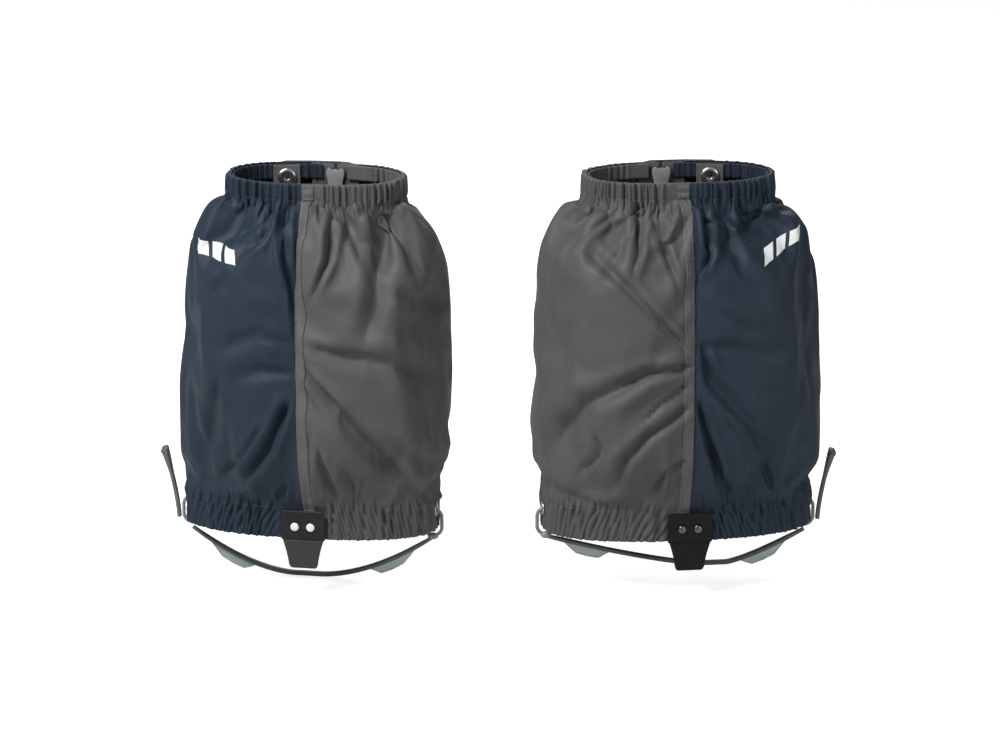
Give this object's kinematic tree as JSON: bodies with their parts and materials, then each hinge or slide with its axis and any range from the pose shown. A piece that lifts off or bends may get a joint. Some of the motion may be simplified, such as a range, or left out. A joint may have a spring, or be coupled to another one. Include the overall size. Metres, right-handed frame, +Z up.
{
  "type": "hiking gaiters",
  "caption": "Pair of short fabric gaiters with back zips, snap tabs, front lace hooks and under-boot straps.",
  "frame": {"origin": "midway between the two gaiters, at the level of their bottom edges and in the middle of their depth", "axes": "+X to the picture's right (the wearer's left), +Y towards the wearer's heels, +Z up"},
  "size_m": [0.4436, 0.1067, 0.2715],
  "materials": {
    "navy_fabric": "matt woven nylon",
    "grey_fabric": "matt woven nylon",
    "seam_tape": "matt woven tape",
    "elastic": "knitted elastic",
    "facing": "matt woven nylon",
    "zip_tape": "knitted tape",
    "zip_coil": "satin nylon coil",
    "zip_metal": "satin",
    "coated_fabric": "rubber-coated cloth",
    "tongue_rubber": "semi-gloss",
    "nickel": "polished nickel",
    "gunmetal": "dark gloss",
    "snap_cap": "satin",
    "strap_plastic": "satin polyurethane"
  },
  "bodies": {
    "right_cloth": {"right_outer_panel": "navy_fabric", "right_inner_panel": "grey_fabric", "right_front_seam_tape": "seam_tape", "right_top_elastic": "elastic", "right_top_hem_facing": "facing", "right_bottom_elastic": "elastic", "right_bottom_hem_facing": "facing", "right_zip_tape_outer": "zip_tape", "right_zip_tape_inner": "zip_tape", "right_zip_coil_outer": "zip_coil", "right_zip_coil_inner": "zip_coil", "right_zip_bottom_stop": "zip_metal", "right_snap_stud": "nickel", "right_snap_patch": "grey_fabric", "right_snap_ring": "nickel", "right_hook_patch": "coated_fabric", "right_lace_hook": "nickel", "right_hook_rivet_outer": "nickel", "right_hook_rivet_inner": "nickel", "right_outer_eyelet": "nickel", "right_inner_eyelet": "nickel"},
    "right_slider": {"right_zip_slider": "zip_metal"},
    "right_puller": {"right_zip_puller": "zip_metal"},
    "right_tab": {"right_closing_tab": "coated_fabric", "right_snap_cap": "snap_cap", "right_snap_socket": "nickel"},
    "right_tongue": {"right_hook_tongue": "tongue_rubber"},
    "right_strap": {"right_instep_strap": "strap_plastic", "right_strap_keeper": "strap_plastic"},
    "right_tail": {"right_strap_tail": "strap_plastic"},
    "left_cloth": {"left_outer_panel": "navy_fabric", "left_inner_panel": "grey_fabric", "left_front_seam_tape": "seam_tape", "left_top_elastic": "elastic", "left_top_hem_facing": "facing", "left_bottom_elastic": "elastic", "left_bottom_hem_facing": "facing", "left_zip_tape_outer": "zip_tape", "left_zip_tape_inner": "zip_tape", "left_zip_coil_outer": "zip_coil", "left_zip_coil_inner": "zip_coil", "left_zip_bottom_stop": "zip_metal", "left_snap_stud": "nickel", "left_snap_patch": "grey_fabric", "left_snap_ring": "nickel", "left_hook_patch": "coated_fabric", "left_lace_hook": "gunmetal", "left_hook_rivet_outer": "gunmetal", "left_hook_rivet_inner": "gunmetal", "left_outer_eyelet": "nickel", "left_inner_eyelet": "nickel"},
    "left_slider": {"left_zip_slider": "zip_metal"},
    "left_puller": {"left_zip_puller": "zip_metal"},
    "left_tab": {"left_closing_tab": "coated_fabric", "left_snap_cap": "snap_cap", "left_snap_socket": "nickel"},
    "left_tongue": {"left_hook_tongue": "tongue_rubber"},
    "left_strap": {"left_instep_strap": "strap_plastic", "left_strap_keeper": "strap_plastic"},
    "left_tail": {"left_strap_tail": "strap_plastic"}
  },
  "joints": [
    {"name": "right_zip_slide", "type": "slide", "parent": "right_cloth", "child": "right_slider", "axis": [0, 0, -1], "range_m": [0, 0.208]},
    {"name": "right_puller_swing", "type": "hinge", "parent": "right_slider", "child": "right_puller", "pos_m": [-0.10402, 0.03904, 0.22], "axis": [0.9848, -0.1736, 0], "range_deg": [0, 90]},
    {"name": "right_tab_swing", "type": "hinge", "parent": "right_cloth", "child": "right_tab", "pos_m": [-0.09277, 0.03318, 0.228], "axis": [0, 0, -1], "range_deg": [0, 110]},
    {"name": "right_tongue_lift", "type": "hinge", "parent": "right_cloth", "child": "right_tongue", "pos_m": [-0.12605, -0.03983, 0], "axis": [-0.9848, 0.1736, 0], "range_deg": [0, 60]},
    {"name": "right_strap_swing", "type": "hinge", "parent": "right_cloth", "child": "right_strap", "pos_m": [-0.117, 0, 0.013], "axis": [0.9848, -0.1736, 0], "range_deg": [-24, 24]},
    {"name": "right_tail_bend", "type": "hinge", "parent": "right_strap", "child": "right_tail", "pos_m": [-0.21041, 0.01647, 0], "axis": [-0.1736, -0.9848, 0], "range_deg": [0, 50], "stiffness_Nm_per_rad": 0.004},
    {"name": "left_zip_slide", "type": "slide", "parent": "left_cloth", "child": "left_slider", "axis": [0, 0, -1], "range_m": [0, 0.208]},
    {"name": "left_puller_swing", "type": "hinge", "parent": "left_slider", "child": "left_puller", "pos_m": [0.1056, 0.04364, 0.22], "axis": [0.9925, 0.1219, 0], "range_deg": [0, 90]},
    {"name": "left_tab_swing", "type": "hinge", "parent": "left_cloth", "child": "left_tab", "pos_m": [0.09405, 0.03851, 0.228], "axis": [0, 0, 1], "range_deg": [0, 110]},
    {"name": "left_tongue_lift", "type": "hinge", "parent": "left_cloth", "child": "left_tongue", "pos_m": [0.12445, -0.04422, 0], "axis": [-0.9925, -0.1219, 0], "range_deg": [0, 60]},
    {"name": "left_strap_swing", "type": "hinge", "parent": "left_cloth", "child": "left_strap", "pos_m": [0.117, 0, 0.013], "axis": [0.9925, 0.1219, 0], "range_deg": [-24, 24]},
    {"name": "left_tail_bend", "type": "hinge", "parent": "left_strap", "child": "left_tail", "pos_m": [0.21114, 0.01156, 0], "axis": [-0.1219, 0.9925, 0], "range_deg": [0, 50], "stiffness_Nm_per_rad": 0.004},
    {"name": "left_gaiter_lift", "type": "slide", "parent": "right_cloth", "child": "left_cloth", "axis": [0, 0, 1], "range_m": [0, 0.12]}
  ]
}
